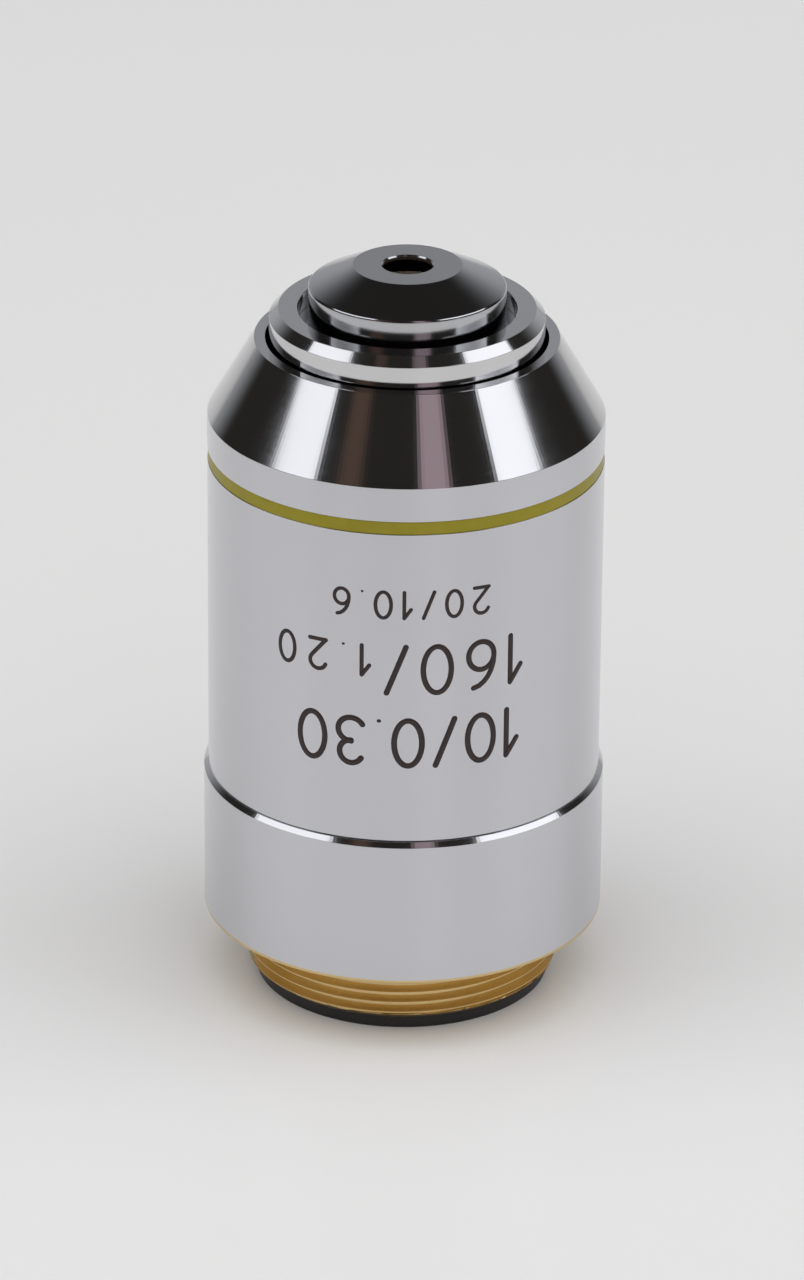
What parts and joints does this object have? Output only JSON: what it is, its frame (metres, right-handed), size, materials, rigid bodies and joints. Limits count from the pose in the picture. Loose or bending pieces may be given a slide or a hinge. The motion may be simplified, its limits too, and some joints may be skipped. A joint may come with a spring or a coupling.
{
  "type": "microscope objective",
  "caption": "Low-power microscope objective: chromed barrel with a coloured band and a stepped nose, a stack of lens cells in an inner tube, and a standard brass mounting thread.",
  "frame": {"origin": "on the optical axis, in the plane of the mounting shoulder where the thread begins", "axes": "+Z along the optical axis, from the mounting thread towards the nose; the part is turned, and X and Y are the directions across it, with the figures on the barrel facing -Y"},
  "size_m": [0.0258, 0.0258, 0.049],
  "materials": {
    "base_chrome": "satin chrome plate over brass, bare brass on the thread",
    "barrel_chrome": "satin chrome plate on the barrel, polished on the cone",
    "polished_chrome": "polished chrome plate",
    "dark_nickel": "polished dark nickel plate over brass",
    "band_enamel": "yellow enamel in a groove",
    "black_ring": "black anodised",
    "bare_brass": "turned brass",
    "blackened_brass": "turned and blackened",
    "black_aluminium": "matt black anodised",
    "crown_glass": "polished, coated crown glass",
    "flint_glass": "polished, coated flint glass"
  },
  "bodies": {
    "root": {"mount_base": "base_chrome", "rear_stop_ring": "black_ring", "parfocal_shim": "bare_brass", "lens_tube": "blackened_brass", "tube_lock_ring": "bare_brass", "outer_barrel": "barrel_chrome", "magnification_band": "band_enamel", "front_ring": "polished_chrome", "front_cell": "dark_nickel", "front_lens": "crown_glass", "front_lens_retainer": "blackened_brass", "front_spacer": "black_aluminium", "second_cell": "blackened_brass", "second_lens": "crown_glass", "second_lens_retainer": "blackened_brass", "middle_spacer": "black_aluminium", "front_doublet_cell": "blackened_brass", "front_doublet_crown": "crown_glass", "front_doublet_flint": "flint_glass", "front_doublet_retainer": "blackened_brass", "aperture_stop": "black_aluminium", "rear_doublet_cell": "blackened_brass", "rear_doublet_crown": "crown_glass", "rear_doublet_flint": "flint_glass", "rear_doublet_retainer": "blackened_brass", "rear_spacer": "black_aluminium", "rear_lens_cell": "blackened_brass", "rear_lens": "flint_glass", "rear_lens_retainer": "blackened_brass", "stack_ring": "blackened_brass"}
  },
  "joints": []
}
